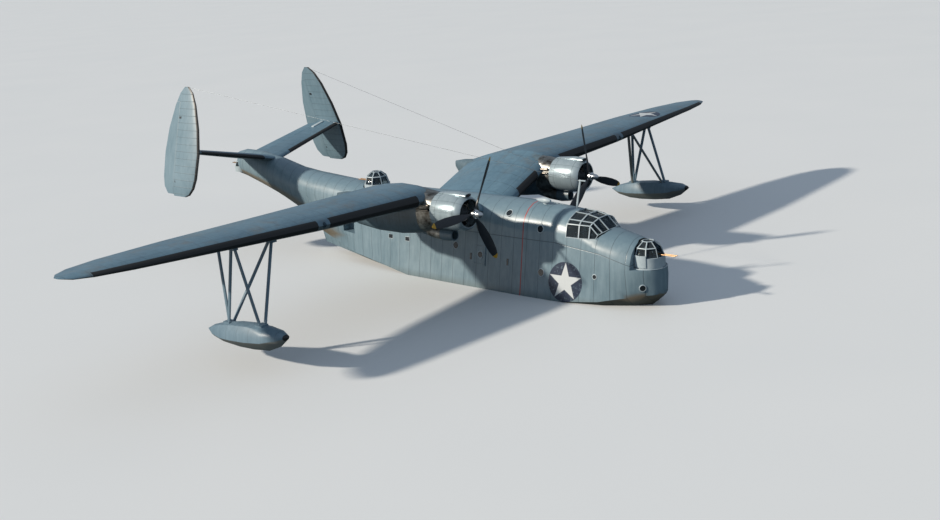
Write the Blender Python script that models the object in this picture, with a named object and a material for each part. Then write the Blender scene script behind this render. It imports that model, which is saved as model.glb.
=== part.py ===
# Twin-engined flying boat with a gull wing, afloat, built from its separate airframe pieces
# Metres: +X is forward, +Y is to port, +Z is up. The origin is on the centreline at the waterline,
# below the wing's front spar. A piece of a pair is named port or starboard.
import math

import bmesh
import bpy
from mathutils import Matrix, Vector

for old in list(bpy.data.objects):
    bpy.data.objects.remove(old, do_unlink=True)

# Driving sizes
SEAT_GAP = 0.0003
RUN_GAP = 0.012
HANDS = {"port": 1, "starboard": -1}
HALF_SPAN = 17.98
ENGINE_Y = 3.57
THRUST_Z = 3.65
PROP_X = 3.0
PROP_RADIUS = 2.21
COWL_RADIUS = 0.695
COWL_REAR_X = 1.39
COWL_REAR_RADIUS = 0.665
COWL_FRONT_X = 2.80
FIREWALL_X = 1.75
FLOAT_Y = 12.1
SILL_Z = 2.41
COCKPIT_REAR_X = 5.15
COCKPIT_FRONT_X = 6.62


def paint(name, hex_colour, roughness, metallic=0.0):
    """A plain finish from an sRGB colour written as six hex digits."""
    finish = bpy.data.materials.new(name)
    finish.use_nodes = True
    shader = finish.node_tree.nodes["Principled BSDF"]
    channels = [int(hex_colour[i : i + 2], 16) / 255 for i in (0, 2, 4)]
    linear = [c / 12.92 if c <= 0.04045 else ((c + 0.055) / 1.055) ** 2.4 for c in channels]
    shader.inputs["Base Color"].default_value = (*linear, 1)
    shader.inputs["Roughness"].default_value = roughness
    shader.inputs["Metallic"].default_value = metallic
    return finish


GREY_PAINT = paint("blue grey paint", "8496A0", 0.45)
COWL_PAINT = paint("bright grey cowl paint", "AEB8BC", 0.35, 0.4)
DARK_METAL = paint("engine grey metal", "3A3D40", 0.5, 0.8)
BLADE_PAINT = paint("black blade paint", "1E2024", 0.5)
GUN_STEEL = paint("gun steel", "5A5248", 0.4, 0.9)
CLEAR_PANES = paint("clear moulded pane", "A8BCC6", 0.1)
CABIN_GREEN = paint("cabin primer", "5E6B52", 0.6)


def to_object(name, shape, finish, origin=(0, 0, 0)):
    """Turns a bmesh, drawn in world places, into an object whose origin is at `origin`."""
    bmesh.ops.recalc_face_normals(shape, faces=shape.faces)
    bmesh.ops.translate(shape, vec=-Vector(origin), verts=shape.verts)
    mesh = bpy.data.meshes.new(name)
    shape.to_mesh(mesh)
    shape.free()
    mesh.materials.append(finish)
    made = bpy.data.objects.new(name, mesh)
    made.location = origin
    bpy.context.scene.collection.objects.link(made)
    return made


def loft(name, rings, finish, origin=(0, 0, 0)):
    """A closed body through rings of points with flat ends; a ring of one point is a tip.

    Its sides are split into triangles here, so that a copy made to cut a seat has the same faces.
    """
    shape = bmesh.new()
    loops = [[shape.verts.new(point) for point in ring] for ring in rings]
    for near, far in zip(loops, loops[1:]):
        count = max(len(near), len(far))
        for i in range(count):
            j = (i + 1) % count
            if len(near) == 1:
                corners = (near[0], far[j], far[i])
            elif len(far) == 1:
                corners = (near[i], near[j], far[0])
            else:
                corners = (near[i], near[j], far[j], far[i])
            shape.faces.new(corners)
    bmesh.ops.triangulate(shape, faces=shape.faces, quad_method="SHORT_EDGE")
    for end in (loops[0], loops[-1]):
        if len(end) > 2:
            shape.faces.new(end)
    return to_object(name, shape, finish, origin)


def turned(name, profile, base, along, finish, segments=20, hollow=False, origin=(0, 0, 0)):
    """A body turned about a line through `base`; the profile's points are (distance, radius)."""
    turn = Vector((0, 0, 1)).rotation_difference(Vector(along)).to_matrix()
    shape = bmesh.new()
    rings = []
    for distance, radius in profile:
        steps = 1 if radius == 0 else segments
        angles = [math.tau * (i + 0.5) / segments for i in range(steps)]
        ring = [turn @ Vector((radius * math.cos(a), radius * math.sin(a), distance)) for a in angles]
        rings.append([shape.verts.new(Vector(base) + point) for point in ring])
    pairs = list(zip(rings, rings[1:]))
    if hollow:
        pairs.append((rings[-1], rings[0]))
    for near, far in pairs:
        for i in range(segments):
            j = (i + 1) % segments
            if len(near) == 1:
                shape.faces.new((near[0], far[j], far[i]))
            elif len(far) == 1:
                shape.faces.new((near[i], near[j], far[0]))
            else:
                shape.faces.new((near[i], near[j], far[j], far[i]))
    return to_object(name, shape, finish, origin)


def extruded(name, outline, start, end, finish, origin=(0, 0, 0)):
    """A flat outline of (x, z) points carried along Y from start to end."""
    rings = [[Vector((x, y, z)) for x, z in outline] for y in (start, end)]
    return loft(name, rings, finish, origin)


def block(name, low, high, finish, turn=None, origin=(0, 0, 0)):
    """A box between two corners, turned about its middle by the matrix `turn`."""
    low, high = Vector(low), Vector(high)
    middle = (low + high) / 2
    half = high - middle
    signs = ((-1, -1), (1, -1), (1, 1), (-1, 1))
    rings = []
    for sx in (-1, 1):
        ring = [Vector((sx * half.x, sy * half.y, sz * half.z)) for sy, sz in signs]
        rings.append([middle + (turn @ corner if turn else corner) for corner in ring])
    return loft(name, rings, finish, origin)


def stick(name, start, end, width, depth, finish, sides=8, face=(1, 0, 0)):
    """A straight bar of oval section, `width` wide towards `face` and `depth` thick."""
    start, end = Vector(start), Vector(end)
    run = (end - start).normalized()
    wide = (Vector(face) - run * run.dot(Vector(face))).normalized() * width / 2
    thick = run.cross(wide).normalized() * depth / 2
    angles = [math.tau * i / sides for i in range(sides)]
    rings = [[point + wide * math.cos(a) + thick * math.sin(a) for a in angles] for point in (start, end)]
    return loft(name, rings, finish)


def grown(source, by, name):
    """A copy of a plain body with every face moved out by `by`, to cut its seat in a neighbour."""
    shape = bmesh.new()
    shape.from_mesh(source.data)
    shape.normal_update()
    moves = [(v, v.normal * by * min(v.calc_shell_factor(), 4)) for v in shape.verts]
    for vert, move in moves:
        vert.co += move
    bmesh.ops.translate(shape, vec=source.location, verts=shape.verts)
    return as_helper(to_object(name, shape, source.data.materials[0]))


def as_helper(tool):
    tool.hide_render = True
    tool.display_type = "WIRE"
    return tool


def combine(body, tool, operation):
    """Cuts the body by the tool, keeps what they share, or joins them, with an exact Boolean."""
    step = body.modifiers.new(operation.lower(), "BOOLEAN")
    step.operation = operation
    step.solver = "EXACT"
    step.object = as_helper(tool)
    return body


# Hull: one deep planing hull with a stepped bottom, its lines given by a few sections
# Columns: x, crown height, shoulder height, shoulder half-width, chine half-width, chine height,
# keel height, and how round the side is between shoulder and chine, 0 for straight
HULL_SECTIONS = (
    (8.78, 1.66, 1.10, 0.12, 0.10, 0.54, 0.50, 0.0),
    (8.70, 1.86, 1.16, 0.34, 0.28, 0.53, 0.40, 0.0),
    (8.52, 2.06, 1.22, 0.56, 0.48, 0.51, 0.24, 0.0),
    (8.25, 2.26, 1.28, 0.77, 0.65, 0.49, 0.03, 0.0),
    (7.74, 2.47, 1.38, 0.96, 0.88, 0.40, -0.38, 0.0),
    (7.20, 2.58, 1.60, 1.00, 1.06, 0.30, -0.66, 0.0),
    (6.62, 2.70, 1.80, 1.03, 1.24, 0.18, -0.81, 0.0),
    (5.15, 3.27, 2.20, 1.04, 1.43, 0.02, -0.93, 0.0),
    (3.15, 3.42, 2.40, 1.06, 1.51, -0.08, -0.99, 0.0),
    (0.00, 3.42, 2.40, 1.07, 1.52, -0.12, -1.02, 0.0),
    (-2.90, 3.40, 2.40, 1.06, 1.50, -0.12, -1.02, 0.0),
    (-2.93, 3.40, 2.40, 1.06, 1.48, 0.00, -0.84, 0.0),
    (-6.50, 3.40, 2.42, 0.98, 1.02, 0.42, -0.22, 0.0),
    (-9.60, 3.62, 2.80, 0.84, 0.12, 0.86, 0.34, 0.35),
    (-9.64, 3.62, 2.80, 0.84, 0.12, 0.88, 0.84, 0.35),
    (-10.80, 3.76, 2.95, 0.78, 0.18, 1.78, 1.74, 0.6),
    (-12.30, 4.12, 3.20, 0.68, 0.20, 2.40, 2.36, 0.7),
    (-13.60, 4.34, 3.40, 0.58, 0.20, 2.80, 2.76, 0.7),
    (-14.70, 4.36, 3.60, 0.48, 0.16, 3.08, 3.05, 0.7),
    (-15.30, 4.22, 3.60, 0.36, 0.12, 3.18, 3.16, 0.7),
    (-15.60, 4.08, 3.60, 0.20, 0.06, 3.23, 3.22, 0.7),
)
CROWN_STEPS = 5
SIDE_STEPS = 3


def hull_ring(x, crown, shoulder_z, shoulder, chine, chine_z, keel, roundness):
    """One hull section: crown arc, side, chine, and a straight bottom to the keel."""
    side = []
    for i in range(CROWN_STEPS + 1):
        turn = math.pi / 2 * i / CROWN_STEPS
        side.append((shoulder * math.sin(turn), shoulder_z + (crown - shoulder_z) * math.cos(turn)))
    bulge_y = (shoulder + chine) / 2 * (1 - roundness) + shoulder * roundness
    bulge_z = (shoulder_z + chine_z) / 2 * (1 - roundness) + (chine_z + 0.1) * roundness
    for i in range(1, SIDE_STEPS + 1):
        t = i / SIDE_STEPS
        weights = ((1 - t) ** 2, 2 * t * (1 - t), t * t)
        y = weights[0] * shoulder + weights[1] * bulge_y + weights[2] * chine
        z = weights[0] * shoulder_z + weights[1] * bulge_z + weights[2] * chine_z
        side.append((y, z))
    side.append((chine * 0.5, (chine_z + keel) / 2 - 0.02))
    side.append((0.0, keel))
    port = [Vector((x, y, z)) for y, z in side]
    starboard = [Vector((x, -y, z)) for y, z in side[-2:0:-1]]
    return port + starboard


hull_rings = [hull_ring(*section) for section in HULL_SECTIONS]
hull = loft("whole hull", hull_rings, GREY_PAINT)
hull_seat = grown(hull, SEAT_GAP, "hull seat cutter")


# Lifting surfaces: each is given by stations, and its skin by one aerofoil formula
# Columns: distance along the span, leading edge x, trailing edge x, height, thickness over chord
WING_STATIONS = (
    (0.30, 1.04, -3.42, 2.74, 0.20),
    (ENGINE_Y, 1.02, -3.42, 4.05, 0.20),
    (9.00, 0.90, -2.95, 4.22, 0.175),
    (13.30, 0.52, -2.58, 4.36, 0.15),
    (15.80, 0.30, -2.16, 4.44, 0.13),
    (17.10, 0.12, -1.70, 4.49, 0.12),
    (17.70, -0.12, -1.25, 4.51, 0.11),
    (HALF_SPAN, -0.52, -0.80, 4.52, 0.10),
)
TAILPLANE_STATIONS = (
    (0.0, -12.40, -14.95, 4.02, 0.13),
    (4.20, -12.60, -14.55, 5.06, 0.11),
)
FIN_STATIONS = (
    (0.00, -13.30, -14.45, 0.0, 0.06),
    (0.10, -13.00, -14.75, 0.0, 0.07),
    (0.40, -12.74, -15.03, 0.0, 0.08),
    (0.85, -12.60, -15.14, 0.0, 0.09),
    (1.95, -12.54, -15.16, 0.0, 0.09),
    (3.05, -12.72, -14.98, 0.0, 0.09),
    (4.10, -13.05, -14.62, 0.0, 0.09),
    (4.65, -13.35, -14.32, 0.0, 0.08),
    (4.93, -13.70, -14.02, 0.0, 0.06),
)
WING_CAMBER = 0.02
INCIDENCE = 0.03
EDGE_THICKNESS = 0.010
CHORD_FRACTIONS = (1.0, 0.80, 0.58, 0.36, 0.18, 0.07, 0.015)


def station_at(stations, span):
    """The station at any distance along the span, read between its neighbours."""
    span = min(max(span, stations[0][0]), stations[-1][0])
    for near, far in zip(stations, stations[1:]):
        if span <= far[0]:
            t = (span - near[0]) / (far[0] - near[0])
            return tuple(a + (b - a) * t for a, b in zip(near, far))
    return stations[-1]


def skin_height(stations, camber, span, x, side):
    """Height of the upper (side 1) or lower (side -1) skin at one x of a station."""
    _, lead, trail, height, ratio = station_at(stations, span)
    chord = lead - trail
    f = min(max((lead - x) / chord, 0), 1)
    thickness_curve = 0.2969 * math.sqrt(f) - 0.126 * f - 0.3516 * f**2 + 0.2843 * f**3 - 0.1036 * f**4
    half = 5 * ratio * thickness_curve
    mean = camber * 4 * f * (1 - f) - (INCIDENCE * f if camber else 0)
    return height + chord * (mean + side * half) + side * EDGE_THICKNESS / 2 * f


def place_wing(hand):
    return lambda span, x, height: Vector((x, hand * span, height))


FIN_FOOT_Y, FIN_FOOT_Z = 4.74, 3.08
FIN_CANT = math.radians(14.4)


def place_fin(hand):
    """A fin stands on its foot and leans inboard; height across it points outboard."""
    return lambda span, x, height: Vector(
        (
            x,
            hand * (FIN_FOOT_Y - span * math.sin(FIN_CANT) + height * math.cos(FIN_CANT)),
            FIN_FOOT_Z + span * math.cos(FIN_CANT) + height * math.sin(FIN_CANT),
        )
    )


def surface_ring(stations, camber, place, span):
    """One closed aerofoil outline, from the trailing edge over the top and back below."""
    _, lead, trail, height, _ = station_at(stations, span)
    xs = [lead - (lead - trail) * f for f in CHORD_FRACTIONS]
    upper = [place(span, x, skin_height(stations, camber, span, x, 1)) for x in xs]
    lower = [place(span, x, skin_height(stations, camber, span, x, -1)) for x in reversed(xs)]
    return upper + [place(span, lead, height)] + lower


def surface(name, stations, camber, place, spans, finish=GREY_PAINT):
    return loft(name, [surface_ring(stations, camber, place, span) for span in spans], finish)


class Hinge:
    """A hinge line in a surface, between (span, x) ends, with the planes across it."""

    def __init__(self, stations, camber, place, start, end):
        self.stations, self.camber, self.place = stations, camber, place
        self.start, self.end = [self.middle(*spot)[0] for spot in (start, end)]
        self.length = (self.end - self.start).length
        self.run = (self.end - self.start).normalized()
        self.aft = Vector((self.run.y, -self.run.x, 0)).normalized()
        self.across = self.run.cross(self.aft).normalized()
        if self.across.z < 0:
            self.across = -self.across

    def world(self, local):
        return self.place(*local)

    def middle(self, span, x):
        """The point midway through the surface, and half the thickness there."""
        up = skin_height(self.stations, self.camber, span, x, 1)
        down = skin_height(self.stations, self.camber, span, x, -1)
        return Vector((span, x, (up + down) / 2)), (up - down) / 2

    def at(self, distance):
        """Point on the hinge line and the surface's half thickness there."""
        spot = self.start + self.run * distance
        return spot, self.middle(spot.x, spot.y)[1]

    def skin(self, centre, aft, side):
        """Point of the skin `aft` of the hinge line, in the plane across it."""
        spot = centre + self.aft * aft
        rise = (skin_height(self.stations, self.camber, spot.x, spot.y, side) - centre.z) / self.across.z
        return spot + self.across * rise

    def chord(self, centre):
        """Distance from the hinge line to the trailing edge, along the plane across it."""
        reach = 0.5
        for _ in range(6):
            spot = centre + self.aft * reach
            trail = station_at(self.stations, spot.x)[2]
            reach += (spot.y - trail) / -self.aft.y
        return reach


NOSE_STEPS = 6
NOSE_SHARE = 0.98
FLAP_FOOT_SHARE = 0.80
SLOT_OVERHANG = 0.6
SLOT_REACH = 1.6
UPPER_FRACTIONS = (1.0, 0.5, 0.12)
LOWER_FRACTIONS = (0.30, 0.6, 1.0)


def moving_surface(name, hinge, breaks, foot_share=NOSE_SHARE, finish=GREY_PAINT):
    """A flap with a round nose on its hinge line and a hinge tube that ends in its side walls.

    The nose narrows to `foot_share` of the skin's height below, where a deep swing needs the room.
    """
    rings = []
    for distance in (RUN_GAP, *breaks, hinge.length - RUN_GAP):
        centre, half = hinge.at(distance)
        chord = hinge.chord(centre)
        upper = [hinge.skin(centre, chord * f, 1) for f in UPPER_FRACTIONS]
        nose = []
        for i in range(NOSE_STEPS + 1):
            turn = math.pi * i / NOSE_STEPS
            spoke = hinge.across * math.cos(turn) - hinge.aft * math.sin(turn)
            share = NOSE_SHARE + (foot_share - NOSE_SHARE) * i / NOSE_STEPS
            nose.append(centre + spoke * half * share)
        lower = [hinge.skin(centre, chord * f, -1) for f in LOWER_FRACTIONS]
        rings.append([hinge.world(point) for point in upper + nose + lower])
    start, end = hinge.world(hinge.start), hinge.world(hinge.end)
    flap = loft(name, rings, finish, origin=start)
    run = (end - start).normalized()
    tube = stick(name + " tube", start + run * SEAT_GAP, end - run * SEAT_GAP, 0.05, 0.05, finish)
    return combine(flap, tube, "UNION")


def hinge_slot(name, hinge, breaks, start_beyond=0.0):
    """The space that a moving surface turns in: a round cove and all that lies aft of it."""
    rings = []
    for distance in (-start_beyond, *breaks, hinge.length):
        centre, half = hinge.at(distance)
        cove = half + RUN_GAP
        deep, back = hinge.across * (half + SLOT_OVERHANG), hinge.aft * SLOT_REACH
        ring = [centre + deep, centre + back + deep, centre + back - deep, centre - deep]
        for i in range(NOSE_STEPS + 1):
            turn = math.pi * (1 - i / NOSE_STEPS)
            ring.append(centre + (-hinge.aft * math.sin(turn) + hinge.across * math.cos(turn)) * cove)
        rings.append([hinge.world(point) for point in ring])
    return as_helper(loft(name, rings, GREY_PAINT))


# Gull wing: an inner panel rises from the hull to the engine, the outer panel carries on flatter
INNER_SPANS = (0.30, ENGINE_Y - SEAT_GAP / 2)
OUTER_SPANS = (ENGINE_Y + SEAT_GAP / 2, 9.0, 13.3, 15.8, 17.1, 17.7, HALF_SPAN)
FLAP_ENDS = ((4.40, -2.32), (10.20, -1.96))
AILERON_ENDS = ((10.45, -1.94), (16.40, -1.50))
FLAP_BREAKS = (9.0 - FLAP_ENDS[0][0],)
AILERON_BREAKS = (13.3 - AILERON_ENDS[0][0], 15.8 - AILERON_ENDS[0][0])
wings = {}
for hand_name, hand in HANDS.items():
    place = place_wing(hand)
    inner = surface("inner_wing_" + hand_name, WING_STATIONS, WING_CAMBER, place, INNER_SPANS)
    outer = surface("outer_wing_" + hand_name, WING_STATIONS, WING_CAMBER, place, OUTER_SPANS)
    wings[hand_name] = [grown(piece, SEAT_GAP, piece.name + " seat cutter") for piece in (inner, outer)]
    combine(inner, hull_seat, "DIFFERENCE")
    flap_hinge = Hinge(WING_STATIONS, WING_CAMBER, place, *FLAP_ENDS)
    aileron_hinge = Hinge(WING_STATIONS, WING_CAMBER, place, *AILERON_ENDS)
    kinds = (
        ("flap", flap_hinge, FLAP_BREAKS, FLAP_FOOT_SHARE),
        ("aileron", aileron_hinge, AILERON_BREAKS, NOSE_SHARE),
    )
    for kind, hinge, breaks, foot_share in kinds:
        combine(outer, hinge_slot(f"{kind} slot {hand_name}", hinge, breaks), "DIFFERENCE")
        moving_surface(f"{kind}_{hand_name}", hinge, breaks, foot_share)


# Tail: a tailplane across the hull's tail, with a canted fin and rudder on each end
ELEVATOR_ENDS = ((0.62, -13.98), (3.62, -13.82))
RUDDER_ENDS = ((0.06, -14.25), (4.25, -14.25))
RUDDER_SWING_Y = 3.85
tail_spots = ((-1, 4.2), (1, 0.0), (1, 4.2))
tailplane_rings = [surface_ring(TAILPLANE_STATIONS, 0, place_wing(hand), span) for hand, span in tail_spots]
tailplane = loft("tailplane", tailplane_rings, GREY_PAINT)
tailplane_seat = grown(tailplane, SEAT_GAP, "tailplane seat cutter")
for hand_name, hand in HANDS.items():
    fin = surface("fin_" + hand_name, FIN_STATIONS, 0, place_fin(hand), [row[0] for row in FIN_STATIONS])
    combine(tailplane, grown(fin, SEAT_GAP, "fin seat cutter " + hand_name), "DIFFERENCE")
    rudder_hinge = Hinge(FIN_STATIONS, 0, place_fin(hand), *RUDDER_ENDS)
    rudder_breaks = [row[0] - RUDDER_ENDS[0][0] for row in FIN_STATIONS[1:7]]
    combine(fin, hinge_slot("rudder slot " + hand_name, rudder_hinge, rudder_breaks, 0.4), "DIFFERENCE")
    moving_surface("rudder_" + hand_name, rudder_hinge, rudder_breaks)
    near, far = sorted((hand * RUDDER_SWING_Y, hand * 5.0))
    swing = block("rudder swing cutter", (-15.5, near, 4.0), (RUDDER_ENDS[0][1] + 0.11, far, 6.0), GREY_PAINT)
    combine(tailplane, swing, "DIFFERENCE")
    elevator_hinge = Hinge(TAILPLANE_STATIONS, 0, place_wing(hand), *ELEVATOR_ENDS)
    combine(tailplane, hinge_slot("elevator slot " + hand_name, elevator_hinge, ()), "DIFFERENCE")
    moving_surface("elevator_" + hand_name, elevator_hinge, ())
combine(hull, tailplane_seat, "DIFFERENCE")


# Engine installation: nacelle, open-fronted cowl, radial engine, oil cooler scoop and propeller
# Columns: x, half-width, top height, bottom height
NACELLE_SECTIONS = (
    (FIREWALL_X, 0.57, 4.22, 3.08),
    (COWL_REAR_X - 0.02, 0.59, 4.24, 3.06),
    (0.90, 0.64, 4.33, 2.82),
    (0.35, 0.64, 4.44, 2.66),
    (-0.50, 0.64, 4.30, 2.56),
    (-1.80, 0.63, 4.10, 2.56),
    (-3.00, 0.52, 3.98, 2.68),
    (-3.80, 0.32, 3.92, 2.98),
    (-4.35, 0.06, 3.82, 3.52),
)
SCOOP_SECTIONS = (
    (1.98, 0.20, 2.97, 2.54),
    (1.60, 0.23, 2.99, 2.49),
    (1.00, 0.21, 3.00, 2.53),
    (0.30, 0.10, 2.85, 2.66),
)
OVAL_POINTS = 16
CYLINDERS = 7
# Columns: distance from the shaft, chord, thickness, pitch in degrees
BLADE_SECTIONS = (
    (0.10, 0.11, 0.11, 50),
    (0.32, 0.13, 0.11, 48),
    (0.60, 0.26, 0.08, 42),
    (1.00, 0.34, 0.055, 34),
    (1.45, 0.35, 0.040, 28),
    (1.85, 0.30, 0.028, 24),
    (2.10, 0.20, 0.018, 22),
    (PROP_RADIUS, 0.07, 0.010, 21),
)
BLADE_POINTS = 8
FIRST_BLADE = {"port": -10.1, "starboard": 30.5}


def oval_ring(x, middle_y, half, top, bottom, squareness=2.3):
    """An upright oval section, a little squared."""
    ring = []
    for i in range(OVAL_POINTS):
        c, s = math.cos(math.tau * i / OVAL_POINTS), math.sin(math.tau * i / OVAL_POINTS)
        y = half * math.copysign(abs(c) ** (2 / squareness), c)
        z = (top - bottom) / 2 * math.copysign(abs(s) ** (2 / squareness), s)
        ring.append(Vector((x, middle_y + y, (top + bottom) / 2 + z)))
    return ring


def propeller(name, centre, first_blade):
    """Three metal blades in a hub; the first blade leans inboard-positive from upright."""
    hub_profile = ((-0.1997, 0), (-0.1997, 0.07), (-0.15, 0.07), (-0.14, 0.17), (0.12, 0.17), (0.14, 0.12))
    hub_profile += ((0.30, 0.11), (0.39, 0.07), (0.44, 0))
    hub = turned(name, hub_profile, centre, (1, 0, 0), BLADE_PAINT, 16, origin=centre)
    forward = Vector((1, 0, 0))
    for i in range(3):
        turn = Matrix.Rotation(-math.radians(first_blade + 120 * i), 3, forward)
        out = turn @ Vector((0, 0, 1))
        leading = forward.cross(out)
        rings = []
        for radius, chord, thickness, pitch in BLADE_SECTIONS:
            lean = math.radians(pitch)
            wide = (leading * math.cos(lean) + forward * math.sin(lean)) * chord / 2
            thick = out.cross(wide).normalized() * thickness / 2
            angles = [math.tau * j / BLADE_POINTS for j in range(BLADE_POINTS)]
            middle = centre + out * radius
            rings.append([middle + wide * math.cos(a) + thick * math.sin(a) for a in angles])
        combine(hub, loft(f"{name} blade {i}", rings, BLADE_PAINT), "UNION")
    return hub


for hand_name, hand in HANDS.items():
    y = hand * ENGINE_Y
    shaft = Vector((0, y, THRUST_Z))
    # Cowl ring: outer skin from the flap edge to the lip, then back inside to a bulkhead
    outer_skin = ((COWL_REAR_X, COWL_REAR_RADIUS), (1.75, COWL_RADIUS), (2.30, COWL_RADIUS))
    outer_skin += ((2.60, 0.655), (2.75, 0.60), (COWL_FRONT_X, 0.545))
    bulkhead_x = FIREWALL_X + SEAT_GAP
    inner_skin = ((2.78, 0.51), (2.66, 0.515), (2.30, 0.60), (1.80, 0.63), (1.80, 0.46), (bulkhead_x, 0.46))
    inner_skin += ((bulkhead_x, 0.645), (COWL_REAR_X, 0.645))
    cowl_skin = outer_skin + inner_skin
    cowl = turned("cowl_" + hand_name, cowl_skin, shaft, (1, 0, 0), COWL_PAINT, 20, hollow=True)
    intake_rings = [
        oval_ring(2.78, y, 0.17, THRUST_Z + 0.735, THRUST_Z + 0.60),
        oval_ring(2.30, y, 0.19, THRUST_Z + 0.77, THRUST_Z + 0.62),
        oval_ring(COWL_REAR_X + 0.06, y, 0.15, THRUST_Z + 0.70, THRUST_Z + 0.655),
    ]
    combine(cowl, loft("intake fairing " + hand_name, intake_rings, COWL_PAINT), "UNION")

    nacelle_rings = [oval_ring(x, y, half, top, bottom) for x, half, top, bottom in NACELLE_SECTIONS]
    nacelle = loft("nacelle_" + hand_name, nacelle_rings, GREY_PAINT)
    nacelle_seat = grown(nacelle, SEAT_GAP, "nacelle seat cutter " + hand_name)
    for wing_seat in wings[hand_name]:
        combine(nacelle, wing_seat, "DIFFERENCE")

    scoop_rings = [oval_ring(x, y, half, top, bottom) for x, half, top, bottom in SCOOP_SECTIONS]
    scoop = loft("oil_cooler_" + hand_name, scoop_rings, GREY_PAINT)
    mouth_rings = [oval_ring(x, y, 0.165, 2.91, 2.575) for x in (2.2, 1.62)]
    combine(scoop, loft("scoop mouth " + hand_name, mouth_rings, GREY_PAINT), "DIFFERENCE")
    cowl_gap = SEAT_GAP * 1.5
    seat_skin = tuple((x, r + cowl_gap) for x, r in outer_skin)
    seat_rear = ((COWL_REAR_X - cowl_gap, 0), (COWL_REAR_X - cowl_gap, COWL_REAR_RADIUS))
    cowl_profile = (*seat_rear, *seat_skin, (COWL_FRONT_X, 0))
    cowl_seat = turned("cowl seat " + hand_name, cowl_profile, shaft, (1, 0, 0), COWL_PAINT, 20)
    combine(scoop, cowl_seat, "DIFFERENCE")
    combine(scoop, nacelle_seat, "DIFFERENCE")

    case = ((bulkhead_x, 0), (bulkhead_x, 0.36), (1.86, 0.30), (2.44, 0.26), (2.62, 0.15))
    case += ((2.80, 0.12), (2.80, 0))
    engine = turned("engine_" + hand_name, case, shaft, (1, 0, 0), DARK_METAL, 16)
    barrel = ((0.20, 0), (0.20, 0.080), (0.40, 0.080), (0.42, 0.100), (0.56, 0.092), (0.56, 0))
    for i in range(2 * CYLINDERS):
        lean = math.tau * i / (2 * CYLINDERS)
        spoke = Vector((0, math.sin(lean), math.cos(lean)))
        row_x = 2.28 if i % 2 == 0 else 2.00
        sides = 8 if i % 2 == 0 else 6
        foot = shaft + Vector((row_x, 0, 0))
        cylinder = turned(f"cylinder {hand_name} {i}", barrel, foot, spoke, DARK_METAL, sides)
        combine(engine, cylinder, "UNION")

    propeller("propeller_" + hand_name, Vector((PROP_X, y, THRUST_Z)), FIRST_BLADE[hand_name])


# Wingtip floats: each hangs on five streamlined struts from the wing's two spars
# Columns: x, half-width, top height, chine height, keel height
FLOAT_SECTIONS = (
    (2.30, 0.10, 1.45, 1.38, 1.30),
    (1.95, 0.27, 1.56, 1.28, 1.02),
    (1.30, 0.39, 1.60, 1.12, 0.76),
    (0.50, 0.43, 1.60, 1.03, 0.66),
    (-0.30, 0.42, 1.52, 0.97, 0.62),
    (-0.95, 0.34, 1.40, 0.92, 0.64),
    (-1.55, 0.19, 1.22, 0.92, 0.76),
)
FLOAT_NOSE = (2.40, 1.385)
FLOAT_TAIL = (-2.00, 1.00)
FRONT_FOOT = (1.05, 1.60)
REAR_FOOT = (-0.70, 1.44)
STRUT_WIDTH, STRUT_DEPTH = 0.15, 0.075
# Columns: wing spar x, distance out, which foot it goes to, distance beside that foot's middle
STRUTS = (
    (0.16, 12.17, FRONT_FOOT, 0.05),
    (0.04, 12.17, REAR_FOOT, 0.05),
    (0.24, 10.65, FRONT_FOOT, -0.12),
    (0.12, 10.61, REAR_FOOT, -0.10),
    (-0.72, 12.17, REAR_FOOT, 0.0),
)
FOOT_FITTING = (0.16, 0.15, 0.15, 0.035)
SPAR_FITTING = (0.17, 0.09, 0.05, 0.10)


def float_ring(y, x, half, top, chine_z, keel):
    """One float section: a rounded top down to the chine, and a shallow vee below it."""
    drop = top - chine_z
    points = [(0, top), (0.62, top - drop * 0.12), (0.94, top - drop * 0.50), (1.0, chine_z)]
    points += [(0.55, (chine_z + keel) / 2 - 0.02), (0, keel)]
    port = [Vector((x, y + half * across, z)) for across, z in points]
    return port + [Vector((x, y - half * across, z)) for across, z in points[-2:0:-1]]


for hand_name, hand in HANDS.items():
    y = hand * FLOAT_Y
    rings = [[Vector((FLOAT_NOSE[0], y, FLOAT_NOSE[1]))]]
    rings += [float_ring(y, *section) for section in FLOAT_SECTIONS]
    rings.append([Vector((FLOAT_TAIL[0], y, FLOAT_TAIL[1]))])
    tip_float = loft("float_" + hand_name, rings, GREY_PAINT)
    float_seat = grown(tip_float, SEAT_GAP, "float seat cutter " + hand_name)
    struts = None
    for i, (spar_x, out, foot, lean) in enumerate(STRUTS):
        spar_z = skin_height(WING_STATIONS, WING_CAMBER, out, spar_x, -1)
        top = (spar_x, hand * out, spar_z + 0.12)
        foot_point = (foot[0], y + hand * lean, foot[1] - 0.12)
        strut = stick(f"strut {hand_name} {i}", top, foot_point, STRUT_WIDTH, STRUT_DEPTH, GREY_PAINT)
        if struts:
            combine(struts, strut, "UNION")
        else:
            struts = strut
            struts.name = "float_struts_" + hand_name
    along, beside, down, up = FOOT_FITTING
    for foot_x, foot_z in (FRONT_FOOT, REAR_FOOT):
        low, high = (foot_x - along, y - beside, foot_z - down), (foot_x + along, y + beside, foot_z + up)
        combine(struts, block("foot fitting", low, high, GREY_PAINT), "UNION")
    along, beside, down, up = SPAR_FITTING
    for spar_x, out in ((0.10, 12.17), (0.18, 10.63), (-0.72, 12.17)):
        spar_z = skin_height(WING_STATIONS, WING_CAMBER, out, spar_x, -1)
        low = (spar_x - along, hand * out - beside, spar_z - down)
        high = (spar_x + along, hand * out + beside, spar_z + up)
        combine(struts, block("spar fitting", low, high, GREY_PAINT), "UNION")
    combine(struts, float_seat, "DIFFERENCE")
    combine(struts, wings[hand_name][1], "DIFFERENCE")


# Cockpit: a well in the hull under a framed greenhouse, with two seats and the instrument panel
WELL_LOW = (4.60, -0.82, 1.50)
WELL_HIGH = (6.30, 0.82, 2.80)
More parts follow.
